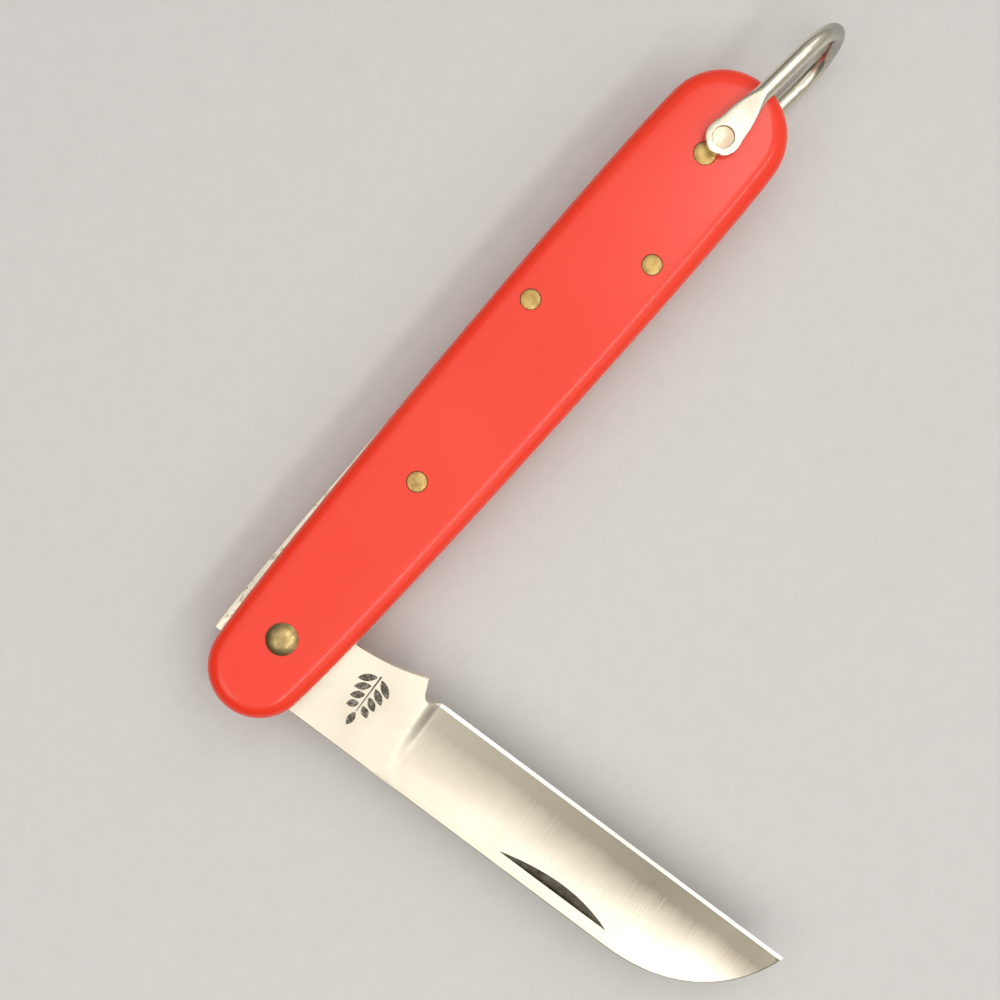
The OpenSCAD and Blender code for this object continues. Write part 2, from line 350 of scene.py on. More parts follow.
class Shader:
    """A node material with short ways to add and join nodes. Its coordinates are millimetres."""

    def __init__(self, name, turn=0.0):
        self.material = bpy.data.materials.new(name)
        self.material.use_nodes = True
        self.tree = self.material.node_tree
        self.tree.nodes.clear()
        self.surface = self.add("ShaderNodeBsdfPrincipled")
        output = self.add("ShaderNodeOutputMaterial")
        self.tree.links.new(self.surface.outputs[0], output.inputs["Surface"])
        place = self.add("ShaderNodeTexCoord")
        mapping = self.add(
            "ShaderNodeMapping",
            Vector=place.outputs["Object"],
            Rotation=(0, 0, turn),
            Scale=(1 / MM, 1 / MM, 1 / MM),
        )
        self.at = mapping.outputs["Vector"]

    def add(self, kind, options=None, **inputs):
        node = self.tree.nodes.new(kind)
        for key, value in (options or {}).items():
            setattr(node, key, value)
        for key, value in inputs.items():
            self.set(node, key.replace("_", " "), value)
        return node

    def set(self, node, key, value):
        socket = node.inputs[int(key)] if key.isdigit() else node.inputs[key]
        if isinstance(value, bpy.types.NodeSocket):
            self.tree.links.new(value, socket)
        else:
            socket.default_value = value

    def finish(self, **inputs):
        for key, value in inputs.items():
            self.set(self.surface, key.replace("_", " "), value)
        return self.material

    def stretched(self, stretch, turn=0.0):
        node = self.add("ShaderNodeMapping", Vector=self.at, Scale=stretch, Rotation=(0, 0, turn))
        return node.outputs["Vector"]

    def noise(self, scale, detail=3.0, at=None, roughness=0.5, distortion=0.0):
        node = self.add(
            "ShaderNodeTexNoise",
            Vector=at or self.at,
            Scale=scale,
            Detail=detail,
            Roughness=roughness,
            Distortion=distortion,
        )
        return node.outputs["Fac"]

    def ramp(self, value, low, high, from_low=0.0, from_high=1.0):
        """A number from low to high as value goes from from_low to from_high, clamped."""
        node = self.add("ShaderNodeMapRange")
        self.set(node, "Value", value)
        self.set(node, "From Min", from_low)
        self.set(node, "From Max", from_high)
        self.set(node, "To Min", low)
        self.set(node, "To Max", high)
        return node.outputs["Result"]

    def math(self, operation, a, b=0.0):
        node = self.add("ShaderNodeMath", {"operation": operation})
        self.set(node, "0", a)
        self.set(node, "1", b)
        return node.outputs[0]

    def mix(self, share, a, b):
        """The colour a where share is 0 and b where it is 1."""
        node = self.add("ShaderNodeMix", {"data_type": "RGBA"})
        self.tree.links.new(share, node.inputs["Factor"])
        for socket, value in (("A", a), ("B", b)):
            target = next(s for s in node.inputs if s.name == socket and s.type == "RGBA")
            if isinstance(value, bpy.types.NodeSocket):
                self.tree.links.new(value, target)
            else:
                target.default_value = (*value, 1)
        return next(s for s in node.outputs if s.type == "RGBA")

    def bump(self, height, depth_mm, normal=None):
        """A bump whose height runs over depth_mm as the value goes from 0 to 1."""
        node = self.add("ShaderNodeBump", Height=height, Strength=1.0, Distance=depth_mm * MM)
        if normal:
            self.set(node, "Normal", normal)
        return node.outputs["Normal"]

    def split(self):
        node = self.add("ShaderNodeSeparateXYZ", Vector=self.at)
        return node.outputs["X"], node.outputs["Y"], node.outputs["Z"]


def red_plastic():
    """Moulded red plastic: even colour, a soft gloss, hair scratches and a little handling haze."""
    s = Shader("red_plastic")
    haze = s.noise(0.05, 3)
    colour = s.mix(haze, (0.95, 0.034, 0.011), (0.98, 0.062, 0.026))
    rough = s.ramp(haze, 0.15, 0.28)
    peel = s.bump(s.noise(0.7, 4), 0.003)
    along = s.bump(s.noise(1.0, 4, at=s.stretched((0.35, 9, 9), math.radians(14))), 0.0012, peel)
    across = s.bump(s.noise(1.0, 4, at=s.stretched((8, 0.5, 8), math.radians(-31))), 0.0010, along)
    return s.finish(
        Base_Color=colour,
        Roughness=rough,
        IOR=1.49,
        Subsurface_Weight=0.08,
        Subsurface_Radius=(1.0, 0.12, 0.1),
        Subsurface_Scale=0.0006,
        Normal=across,
    )


def ground_steel(name, turn, grain_along, colour, dull, rough=0.3, grain_mm=0.0022):
    """Ground steel: fine parallel grain, smudges, and a few deeper scratches that follow no direction."""
    s = Shader(name, turn)
    stretch = (0.05, 7, 1) if grain_along else (7, 0.05, 0)
    grain = s.noise(1.0, 5, at=s.stretched(stretch), roughness=0.7)
    coarse = s.noise(0.45, 3, at=s.stretched(stretch), roughness=0.5)
    smudge = s.noise(0.12, 3, distortion=0.4)
    base = s.mix(s.ramp(smudge, 0, 1, 0.35, 0.7), colour, dull)
    wiped = s.ramp(smudge, rough - 0.05, rough + 0.07, 0.3, 0.7)
    roughness = s.math("ADD", wiped, s.ramp(grain, -0.05, 0.05, 0.3, 0.7))
    fine = s.bump(grain, grain_mm)
    normal = s.bump(coarse, 2 * grain_mm, fine)
    return s, base, roughness, normal


def blade_steel():
    """The blade: pale at the spine, greyer where it thins from a painted dark reflection with a streaky
    border, bumped there with cross-grinding lines, and a bright honed bevel.
    """
    s, base, roughness, normal = ground_steel(
        "blade_steel",
        -math.radians(BLADE_ANGLE),
        False,
        (0.84, 0.78, 0.65),
        (0.72, 0.66, 0.54),
        grain_mm=0.0016,
    )
    x, y, _ = s.split()
    wander = s.ramp(s.noise(0.07, 2), -0.7, 0.7, 0.2, 0.8)
    comb = s.noise(1.0, 4, at=s.stretched((2.5, 0.10, 0)), roughness=0.6)
    streaks = s.ramp(comb, -0.45, 0.45, 0.2, 0.8)
    depth = s.math("ADD", y, s.math("ADD", wander, streaks))
    on_grind = s.ramp(x, 0, 1, PLUNGE_X + 0.2, PLUNGE_X + 1.4)
    toward_edge = s.ramp(depth, 0, 1, SPINE_Y + 3.4, EDGE_Y - 2.6)
    before_bevel = s.ramp(y, 1, 0, EDGE_Y - BEVEL_W - 0.02, EDGE_Y - BEVEL_W + 0.02)
    toward_tip = s.ramp(x, 0.62, 1.0, PLUNGE_X, 0.75 * BLADE_L)
    thinned = s.math("MULTIPLY", on_grind, toward_edge)
    # Painted dark reflection: the ground faces are coloured grey towards the edge, and darker towards the
    # tip, standing in for the dark surroundings that the tilted grind mirrors.
    painted_reflection_shade = s.math("MULTIPLY", thinned, s.math("MULTIPLY", before_bevel, toward_tip))
    # Painted shade: two soft dark lines across the plunge, fading towards the spine, stand in for the
    # shading of its two small ridges.
    line_w = 0.28
    first_gap = s.math("ABSOLUTE", s.math("SUBTRACT", x, PLUNGE_X + 0.35))
    second_gap = s.math("ABSOLUTE", s.math("SUBTRACT", x, PLUNGE_X + 1.3))
    nearer = s.math("MAXIMUM", s.ramp(first_gap, 1, 0, 0, line_w), s.ramp(second_gap, 1, 0, 0, line_w))
    plunge_lines = s.math("MULTIPLY", nearer, s.ramp(y, 0, 0.28, SPINE_Y + 2.5, EDGE_Y))
    # The painted dark reflection and the painted plunge shade both mix towards this dark colour.
    colour = s.mix(s.math("MAXIMUM", painted_reflection_shade, plunge_lines), base, (0.20, 0.18, 0.14))
    bevel = s.math("MULTIPLY", on_grind, s.math("SUBTRACT", 1.0, before_bevel))
    past_start = s.ramp(x, 0, 1, PLUNGE_X - 0.6, PLUNGE_X + 0.3)
    before_end = s.ramp(x, 1, 0, PLUNGE_X + PLUNGE_W, PLUNGE_X + PLUNGE_W + 1.2)
    on_plunge = s.math("MULTIPLY", past_start, before_end)
    roughness = s.math("ADD", roughness, s.math("MULTIPLY", on_plunge, 0.17))
    colour = s.mix(bevel, colour, (0.80, 0.785, 0.74))
    bristle = s.noise(1.0, 5, at=s.stretched((9, 0.12, 0), math.radians(4)), roughness=0.75)
    lines = s.bump(s.math("MULTIPLY", bristle, painted_reflection_shade), 0.002, normal)
    return s.finish(Base_Color=colour, Metallic=1.0, Roughness=roughness, Normal=lines)


def nick_steel():
    """The nail nick's milled floor, coloured dark in mottled patches."""
    s = Shader("nick_steel", -math.radians(BLADE_ANGLE))
    mill = s.noise(1.0, 4, at=s.stretched((0.3, 6, 6)), roughness=0.7)
    mottle = s.noise(0.9, 5)
    # The floor is coloured near black, mixed between two dark tones.
    colour = s.mix(s.ramp(mottle, 0, 1, 0.3, 0.7), (0.10, 0.085, 0.065), (0.22, 0.20, 0.165))
    rough = s.ramp(mottle, 0.38, 0.6, 0.3, 0.7)
    return s.finish(Base_Color=colour, Metallic=1.0, Roughness=rough, Normal=s.bump(mill, 0.006))


def stamp_dark():
    """The floor of the stamped sprig, filled with dark tarnish."""
    s = Shader("stamp_dark", -math.radians(BLADE_ANGLE))
    worn = s.noise(3.5, 5)
    colour = s.mix(s.ramp(worn, 0, 1, 0.45, 0.72), (0.10, 0.09, 0.07), (0.40, 0.37, 0.30))
    return s.finish(Base_Color=colour, Metallic=0.7, Roughness=0.6, Normal=s.bump(worn, 0.02))


def spring_steel():
    """The backspring: ground lengthways, with dark specks of tarnish on its outer face."""
    bright, dull = (0.86, 0.79, 0.65), (0.66, 0.60, 0.48)
    s, base, roughness, normal = ground_steel("spring_steel", 0, True, bright, dull, 0.34)
    tarnish = s.noise(1.1, 6, at=s.stretched((0.6, 1, 2.2)), roughness=0.8)
    specks = s.ramp(tarnish, 0, 1, 0.54, 0.66)
    colour = s.mix(specks, base, (0.19, 0.16, 0.12))
    return s.finish(
        Base_Color=colour,
        Metallic=1.0,
        Roughness=s.math("ADD", roughness, s.math("MULTIPLY", specks, 0.2)),
        Normal=normal,
    )


def liner_metal():
    bright, dull = (0.78, 0.77, 0.74), (0.62, 0.61, 0.58)
    s, base, roughness, normal = ground_steel("liner_metal", 0, True, bright, dull, 0.38)
    return s.finish(Base_Color=base, Metallic=1.0, Roughness=roughness, Normal=normal)


def brass(name, bright, tarnish, tarnish_from, rough):
    """Brass with blotches of tarnish, filed across in one direction."""
    s = Shader(name)
    blotch = s.noise(0.8, 5, roughness=0.6)
    filed = s.noise(1.0, 4, at=s.stretched((1.2, 14, 14), math.radians(38)), roughness=0.7)
    colour = s.mix(s.ramp(blotch, 0, 1, tarnish_from, tarnish_from + 0.22), bright, tarnish)
    aged = s.ramp(blotch, rough - 0.06, rough + 0.1, 0.3, 0.7)
    roughness = s.math("ADD", aged, s.ramp(filed, -0.04, 0.04, 0.3, 0.7))
    normal = s.bump(filed, 0.004, s.bump(s.noise(1.7, 3), 0.02))
    return s.finish(Base_Color=colour, Metallic=1.0, Roughness=roughness, Normal=normal)


def nickel_plate(name, bright, dull):
    """Bright nickel plate with a warm cast, hammered a little uneven and scratched, with a painted dark
    reflection round the arch.
    """
    s = Shader(name)
    x, _, _ = s.split()
    # Painted dark reflection: the arch is coloured dark grey, standing in for the dark surroundings it
    # mirrors.
    arch = s.ramp(x, 0, 1, HANDLE_HIGH.x + 7.5, HANDLE_HIGH.x + 11.5)
    wear = s.noise(1.4, 4, roughness=0.6)
    scratch = s.noise(1.0, 4, at=s.stretched((0.8, 10, 10), math.radians(-9)), roughness=0.7)
    colour = s.mix(s.ramp(wear, 0, 1, 0.5, 0.8), bright, dull)
    colour = s.mix(arch, colour, (0.30, 0.30, 0.31))
    rough = s.ramp(wear, 0.22, 0.30, 0.35, 0.75)
    normal = s.bump(scratch, 0.0012, s.bump(s.noise(0.5, 3), 0.012))
    return s.finish(Base_Color=colour, Metallic=1.0, Roughness=rough, Normal=normal)


def pale_floor():
    s = Shader("pale_floor")
    fibre = s.noise(0.5, 6, roughness=0.7)
    colour = s.mix(s.ramp(fibre, 0, 1, 0.3, 0.7), (0.66, 0.655, 0.64), (0.69, 0.685, 0.67))
    return s.finish(Base_Color=colour, Roughness=0.85, Specular_IOR_Level=0.2, Normal=s.bump(fibre, 0.02))


# ---------------------------------------------------------------- the handle


def face_height(depth):
    """The height of a scale's crowned face at a distance in from its outline."""
    return FACE_Z - CROWN * max(0.0, 1 - depth / CROWN_INSET) ** 2


def rivet_places(gap):
    names = ["pivot_pin", "spring_pin", "end_pin", "front_scale_pin_fore", "front_scale_pin_aft"]
    places = [pin_place(n) for n in names]
    places[0] = (places[0][0], PIVOT_SHANK_R)
    places.append((BAIL_PIN.to_2d(), BAIL_SHANK_R))
    return [(centre, radius + gap) for centre, radius in places]


def make_scale(name):
    """A scale: a short upright wall, an elliptical rounded edge and a crowned face, drilled for the pins."""
    outline = handle_outline()
    wall_draft = 0.04
    foot = 0.12
    rings = [
        lifted(inset(outline, foot), SCALE_Z),
        lifted(inset(outline, 0.02), SCALE_Z + foot),
        lifted(inset(outline, 0), SCALE_Z + 2 * foot),
    ]
    edge_steps = 16
    for i in range(edge_steps + 1):
        a = math.pi / 2 * i / edge_steps
        depth = wall_draft + EDGE_W * (1 - math.cos(a))
        drop = EDGE_H * (1 - math.sin(a))
        rings.append(lifted(inset(outline, depth), face_height(depth) - drop))
    face_rings = 7
    start = wall_draft + EDGE_W
    for i in range(1, face_rings + 1):
        depth = start + (CROWN_INSET - start) * i / face_rings
        rings.append(lifted(inset(outline, depth), face_height(depth)))
    bm = bmesh.new()
    skin_rings(bm, rings)
    scale = finish_mesh(name, bm)
    return drill(scale, rivet_places(0.05))


def make_liner(name):
    outline = inset(handle_outline(), -LINER_PROUD)
    return drill(plate(name, outline, LINER_Z, SCALE_Z, 0.08), rivet_places(0.02))


def spring_outline(low_x, high_x):
    """The backspring's outline between two places along the handle, anticlockwise from its outer face."""
    clamp = pin_place("spring_pin")[0]
    outer = [Vector((p.x, p.y + spring_lift(p.x, clamp.x))) for p in back_side()]

    def on_inner(x):
        return Vector((x, SPRING_INNER + spring_lift(x, clamp.x)))

    def on_outer(x):
        return Vector((x, outer_y(x, outer)))

    step = 2.0
    arm_end_x = 44.0
    inner_from = math.ceil(max(low_x, NOSE_X) / step) * step
    inner_x = np.arange(inner_from, arm_end_x + step / 2, step)
    inner = [on_inner(x) for x in inner_x if low_x < x < high_x]
    near_end = [on_outer(low_x), on_inner(low_x)]
    if high_x > clamp.x:
        boss = 2.5
        block_x = pin_place("end_pin")[0].x - 3.4
        block_low = 3.1
        inner += [
            Vector((clamp.x - boss, clamp.y - boss)),
            Vector((clamp.x + boss, clamp.y - boss)),
            Vector((clamp.x + 3 * boss, SPRING_INNER - 1)),
            Vector((block_x - 4, SPRING_INNER - 1)),
            Vector((block_x, 1)),
            Vector((block_x + 0.3, -block_low)),
        ]
        bail_x = HANDLE_HIGH.x - BAIL_END_R
        inner += arc((bail_x, 0), BAIL_END_R, -math.asin(block_low / BAIL_END_R), -0.02, 10)
        return [p for p in outer if p.x > low_x] + near_end + inner
    far_end = [on_inner(high_x), on_outer(high_x)]
    return [p for p in outer if low_x < p.x < high_x] + near_end + inner + far_end


def outer_y(x, outer):
    """The outer face's height at x, between the two nearest outline points on the side."""
    side = [p for p in outer if p.y > 2]
    after = min((p for p in side if p.x >= x), key=lambda p: p.x)
    before = max((p for p in side if p.x <= x), key=lambda p: p.x)
    share = (x - before.x) / max(1e-6, after.x - before.x)
    return before.y + share * (after.y - before.y)


def make_backspring(steel):
    """The backspring as two pieces: the arm that flexes and the back that the pins hold."""
    half = SLOT_T / 2
    arm = plate("backspring_arm", spring_outline(NOSE_X, FLEX_SPLIT_X), -half, half, 0.12)
    back = plate("backspring_back", spring_outline(FLEX_SPLIT_X, HANDLE_HIGH.x), -half, half, 0.12)
    held = [place for place in rivet_places(0.02) if place[0].x > FLEX_SPLIT_X and place[0].y > -1]
    drill(back, held)
    for piece in (arm, back):
        piece.data.materials.append(steel)
        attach(piece, "handle")
    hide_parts("backspring")
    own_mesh(arm)


# ---------------------------------------------------------------- the blade


def tang_outline():
    """The tang from the cutting edge's notch back round its cam to the stop that meets the spring's nose."""
    kick = Vector((17.0, 6.35))
    reach = math.sqrt(TANG_R**2 - TANG_FLAT**2)
    closed_flat_end = turned((-reach, TANG_FLAT), CLOSED_ANGLE)
    open_angle = math.atan2(-TANG_FLAT, -reach) + 2 * math.pi
    closed_angle = math.atan2(closed_flat_end.y, closed_flat_end.x)
    notch = [(20.3, EDGE_Y), (19.6, EDGE_Y - 0.42), (19.0, 3.98), (18.6, 3.86), (18.25, 3.98), (17.9, 4.5)]
    kick_side = [(17.3, 5.9), (17.12, 6.25)]
    pulls = [Vector((0, 0)), Vector((-3.5, -1.45)), Vector((-7, -1.95)), Vector((-10.5, -2.1))]
    tang_side = curve([kick + pull for pull in pulls], 12)
    flat = [turned((2.5, TANG_FLAT), CLOSED_ANGLE), closed_flat_end]
    cam = arc((0, 0), TANG_R, closed_angle, open_angle, 24)[1:]
    stop = [(STOP_X - 0.25, -TANG_FLAT), (STOP_X - 0.07, -TANG_FLAT - 0.07), (STOP_X, -TANG_FLAT - 0.25)]
    shoulder = [(STOP_X, SPINE_Y + 0.35), (STOP_X + 0.1, SPINE_Y + 0.1), (STOP_X + 0.35, SPINE_Y)]
    points = notch + kick_side + tang_side + flat + cam + stop + shoulder
    return [Vector(p) for p in points]


def spine_curve():
    """The spine from where it starts to drop to the tip."""
    tip = Vector((BLADE_L, EDGE_Y - 0.06))
    drop_x = 54.0
    return curve([(drop_x, SPINE_Y), (drop_x + 10, SPINE_Y), tip + Vector((-2.2, -6.45)), tip], 40)


def blade_outline():
    """The blade's whole outline in its own frame, and how many of its first points are the cutting edge."""
    edge = [Vector((x, EDGE_Y)) for x in np.arange(BLADE_L - 0.4, 20.6, -1.0)]
    spine = [Vector((x, SPINE_Y)) for x in np.arange(7.0, 53.5, 2.0)]
    return edge + tang_outline() + spine + spine_curve(), len(edge) + 1


def plunge(x, y):
    """How far the grind has started at a point: 0 on the tang, 1 past the plunge."""
    return smooth_step((x - PLUNGE_X - PLUNGE_LEAN * (EDGE_Y - y)) / PLUNGE_W)


def half_thickness(x, y):
    """Half the blade's thickness at a point of its own frame, before its outline is rounded."""
    full = BLADE_T / 2
    bevel_y = EDGE_Y - BEVEL_W
    v = (y - GRIND_TOP_Y) / (bevel_y - GRIND_TOP_Y)
    if v <= 0:
        return full
    ground = full + (EDGE_HALF_T - full) * min(v, 1) - HOLLOW * 4 * v * max(0.0, 1 - v)
    if v > 1:
        apex = 0.012
        ground = EDGE_HALF_T + (apex - EDGE_HALF_T) * (y - bevel_y) / BEVEL_W
    return full + (ground - full) * plunge(x, y)


def distances(points, outline, skip_first):
    """Each point's distance to the outline, leaving out its first segments, which are the cutting edge."""
    best = np.full(len(points), 1e9)
    for i in range(skip_first, len(outline)):
        a = np.array(outline[i])
        b = np.array(outline[(i + 1) % len(outline)])
        along = b - a
        t = np.clip(((points - a) @ along) / max(1e-12, along @ along), 0, 1)
        best = np.minimum(best, np.linalg.norm(points - a - t[:, None] * along, axis=1))
    return best


def blade_lines():
    """Lines that the blade's faces must follow: the bevel, the top of the grind and the plunge."""
    bevel_y = EDGE_Y - BEVEL_W
    lines = [[Vector((x, bevel_y)) for x in np.arange(20.6, BLADE_L - 0.4, 1.0)]]
    lines.append([Vector((x, GRIND_TOP_Y)) for x in np.arange(20.6, 58.0, 1.0)])
    plunge_lines = 12
    for i in range(plunge_lines + 1):
        offset = PLUNGE_W * i / plunge_lines
        line = []
        for y in np.linspace(GRIND_TOP_Y, 3.7 if offset < 1.3 else bevel_y - 0.1, 14):
            line.append(Vector((PLUNGE_X + offset + PLUNGE_LEAN * (EDGE_Y - y), y)))
        lines.append(line)
    return lines


def blade_points(outline, edge_count):
    """The places of the blade's vertices, the lines between them that must be kept, and the triangles."""
    coords = list(outline)
    edges = []
    rings = [inset(outline, d) for d in (SPINE_ROUND * 0.3, SPINE_ROUND)]
    rings = [ring[edge_count + 1 : -2] for ring in rings]
    for line in rings + blade_lines():
        start = len(coords)
        coords += line
        edges += [(start + i, start + i + 1) for i in range(len(line) - 1)]
    grid = np.array([
        (x + (0.35 if row % 2 else 0), y)
        for row, y in enumerate(np.arange(SPINE_Y + 0.5, 6.3, 0.42))
        for x in np.arange(-5.2, BLADE_L, 0.7)
    ])
    clear = distances(grid, outline, 0) > 0.3
    for line in blade_lines():
        clear &= distances(grid, line, 0) > 0.12
    inside = np.array([point_in(p, outline) for p in grid])
    coords += [Vector(p) for p in grid[clear & inside]]
    face = [list(range(len(outline)))]
    verts, _, faces, *_ = delaunay_2d_cdt(coords, edges, face, 1, 1e-5)
    return verts, faces


def point_in(point, outline):
    """Whether a point is inside a closed outline, by counting crossings."""
    x, y = point
    inside = False
    for i, a in enumerate(outline):
        b = outline[i - 1]
        if (a.y > y) != (b.y > y) and x < (b.x - a.x) * (y - a.y) / (b.y - a.y) + a.x:
            inside = not inside
    return inside


def blade_solid():
    """The blade before its nick and stamp: two ground faces with the outline's wall between them."""
    outline, edge_count = blade_outline()
    verts, faces = blade_points(outline, edge_count)
    flat = np.array([(p.x, p.y) for p in verts])
    from_side = distances(flat, outline, edge_count)
    bm = bmesh.new()
    top, bottom = [], []
    for p, d in zip(verts, from_side):
        height = half_thickness(p.x, p.y)
        gap = max(0.0, 1 - d / SPINE_ROUND)
        drop = min(SPINE_ROUND * (1 - math.sqrt(1 - gap * gap)), 0.6 * height)
        top.append(bm.verts.new((p.x, p.y, height - drop)))
        bottom.append(bm.verts.new((p.x, p.y, drop - height)))
    for face in faces:
        bm.faces.new([top[i] for i in face])
        bm.faces.new([bottom[i] for i in reversed(face)])
    bm.verts.index_update()
    count = {}
    for face in faces:
        for i, a in enumerate(face):
            key = frozenset((a, face[i - 1]))
            count[key] = count.get(key, 0) + 1
    for key in [k for k, n in count.items() if n == 1]:
        a, b = key
        bm.faces.new((top[a], top[b], bottom[b], bottom[a]))
    loose = [v for v in bm.verts if not v.link_faces]
    bmesh.ops.delete(bm, geom=loose, context="VERTS")
    return finish_mesh("blade_ground", bm)


def nick_cutter():
    """What the milling wheel takes out: steep on the spine side, running out shallow on the other."""
    centre_x, wall_y = 44.9, SPINE_Y + 1.62
    half_l, width, depth = 7.3, 1.45, 0.45
    skew = 0.16
    surface = half_thickness(centre_x, wall_y + 1)
    steps = 48
    over = 1.12
    lean = 0.05
    run_out = 1.35
    bm = bmesh.new()
    rows = []
    for i in range(steps + 1):
        u = over * half_l * (2 * i / steps - 1)
        share = 1 - (u / half_l) ** 2
        local = depth * share * (1 + skew * u / half_l)
        wall_z = surface - local
        out_z = wall_z + run_out * depth
        x = centre_x + u
        rows.append([
            bm.verts.new((x, wall_y - lean, surface + 1)),
            bm.verts.new((x, wall_y, wall_z)),
            bm.verts.new((x, wall_y + run_out * width, out_z)),
            bm.verts.new((x, wall_y + run_out * width, surface + 1)),
        ])
    for a, b in zip(rows, rows[1:]):
        for i in range(4):
            j = (i + 1) % 4
            bm.faces.new((a[i], a[j], b[j], b[i]))
    bm.faces.new(rows[0])
    bm.faces.new(list(reversed(rows[-1])))
    return finish_mesh("nick_cutter", bm)


def leaf(base, angle, length, width, steps=10):
    """A pointed leaf's outline, from its base along an angle."""
    side = [
        Vector((length * t, width / 2 * math.sin(math.pi * t) ** 0.8))
        for t in (i / steps for i in range(1, steps))
    ]
    points = [Vector((0, 0))] + side + [Vector((length, 0))] + [Vector((p.x, -p.y)) for p in reversed(side)]
    return [Vector(base) + turned(p, angle) for p in reversed(points)]


def sprig():
    """A plain sprig of leaves for the tang, as separate outlines in the blade's frame."""
    root = Vector((12.3, 3.0))
    up = -math.pi / 2
    pairs = 4
    pitch = 1.3
    stem_half = 0.12
    stem_l = pitch * pairs
    shapes = []
    for i in range(pairs):
        base = root + Vector((0, -pitch * (i + 0.25)))
        size = 2.5 - 0.3 * i
        for side in (-1, 1):
            shapes.append(leaf(base + Vector((0.28 * side, 0)), up + 0.95 * side, size, 0.95))
    shapes.append(leaf(root + Vector((0, -stem_l - 0.15)), up, 1.9, 0.95))
    stem = [(stem_half, 0), (stem_half / 2, -stem_l), (-stem_half / 2, -stem_l), (-stem_half, 0)]
    shapes.append([root + Vector(p) for p in reversed(stem)])
    return shapes


def stamp_cutter():
    """The sprig as a set of shallow prisms that reach just under the tang's face."""
    depth = 0.07
    bm = bmesh.new()
    for outline in sprig():
        rings = [lifted(outline, BLADE_T / 2 - depth), lifted(outline, BLADE_T / 2 + 1)]
        skin_rings(bm, rings)
    return finish_mesh("stamp_cutter", bm)


def paint_cuts(mesh, region, slot, surface):
    """Gives slot's material to the faces in a region of the blade's own frame that lie under its surface."""
    low_x, high_x, low_y, high_y, deep = region
    for face in mesh.polygons:
        c = face.center / MM
        if low_x < c.x < high_x and low_y < c.y < high_y and 0 < c.z < surface(c.x, c.y) - deep:
            face.material_index = slot


def mark_blade_edges(mesh):
    """Keeps the ground lines crisp and the plunge soft."""
    bm = bmesh.new()
    bm.from_mesh(mesh)
    for edge in bm.edges:
        if len(edge.link_faces) != 2:
            continue
        angle = math.degrees(edge.calc_face_angle(0))
        middle = (edge.verts[0].co + edge.verts[1].co) / 2 / MM
        along_plunge = PLUNGE_X - 0.3 < middle.x < PLUNGE_X + PLUNGE_W + 1
        on_plunge = along_plunge and middle.y < EDGE_Y - BEVEL_W - 0.1
        edge.smooth = angle < (40 if on_plunge else 6.5)
    bm.to_mesh(mesh)
    bm.free()


def make_blade():
    blade = blade_solid()
    cut(blade, nick_cutter())
    cut(blade, stamp_cutter(), overlapping=True)
    drill(blade, [(Vector((0, 0)), PIVOT_SHANK_R + 0.04)])
    mesh = blade.data
    mesh.materials.clear()
    for material in (blade_steel(), nick_steel(), stamp_dark()):
        mesh.materials.append(material)
    for face in mesh.polygons:
        face.material_index = 0
    paint_cuts(mesh, (36, 54, SPINE_Y + 1.4, SPINE_Y + 4.2, 0.012), 1, half_thickness)
    paint_cuts(mesh, (8, 17, -5.2, 4, 0.02), 2, half_thickness)
    mark_blade_edges(mesh)
    mesh.transform(Matrix.Rotation(math.radians(BLADE_ANGLE), 4, UP))
    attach(blade, "blade")
    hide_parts("blade")


# ---------------------------------------------------------------- the pins


def domed_profile(radius, low_z, height, steps=14):
    """The upper end of a pin: a short rim, then a ball's cap."""
    rim = 0.14
    cap_h = height - rim
    ball_r = (radius**2 + cap_h**2) / (2 * cap_h)
    profile = [(radius - 0.05, low_z), (radius, low_z + 0.05)]
    for i in range(steps + 1):
        r = max(0.02, radius * (1 - i / steps))
        profile.append((r, low_z + height - ball_r + math.sqrt(ball_r**2 - r**2)))
    return profile


def both_ends(upper):
    """A profile from pole to pole that is the same at both ends."""
    lower = [(r, -z) for r, z in reversed(upper)]
    return lower + upper


def flush_end(radius, top_z):
    """A pin's filed end, a hair proud and softened at its rim."""
    return [
        (radius, top_z - 0.12),
        (radius - 0.02, top_z - 0.03),
        (radius - 0.1, top_z + 0.02),
        (radius * 0.5, top_z + 0.04),
        (0.02, top_z + 0.045),
    ]


def place_pin(pin, node, material):
    pin.data.materials.append(material)
    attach(pin, "handle")
    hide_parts(node)


def make_pins(bright, dark, nickel):
    for node in ("spring_pin", "end_pin"):
        centre, radius = pin_place(node)
        pin = lathe(node + "_turned", both_ends(flush_end(radius, FACE_Z)), centre)
        place_pin(pin, node, bright)
    for side in ("front", "rear"):
        for end in ("fore", "aft"):
            node = f"{side}_scale_pin_{end}"
            centre, radius = pin_place(node)
            foot = [(0.02, LINER_Z), (radius - 0.08, LINER_Z), (radius, LINER_Z + 0.08)]
            profile = foot + flush_end(radius, FACE_Z)
            if side == "rear":
                profile = [(r, -z) for r, z in reversed(profile)]
            place_pin(lathe(node + "_turned", profile, centre), node, bright)
    low, high = box_mm("pivot_pin")
    head_r = (high.x - low.x) / 2
    head = domed_profile(head_r, FACE_Z, high.z - FACE_Z)
    shank = [(PIVOT_SHANK_R, FACE_Z - 0.01)]
    pivot = lathe("pivot_pin_turned", both_ends(shank + head), Vector((0, 0)))
    place_pin(pivot, "pivot_pin", dark)
    top_z = FACE_Z + EYE_T + 0.05
    rivet_r = RECESS_R - 0.04
    seat_z = top_z - DIMPLE + 0.02
    end = [(BAIL_SHANK_R, seat_z - 0.01), (rivet_r - 0.04, seat_z), (rivet_r, seat_z + 0.08)]
    end += [(rivet_r - 0.08, seat_z + 0.17), (rivet_r * 0.6, seat_z + 0.13), (0.02, seat_z + 0.1)]
    place_pin(lathe("bail_pin_turned", both_ends(end), BAIL_PIN.to_2d()), "bail_pin", nickel)


# ---------------------------------------------------------------- the bail


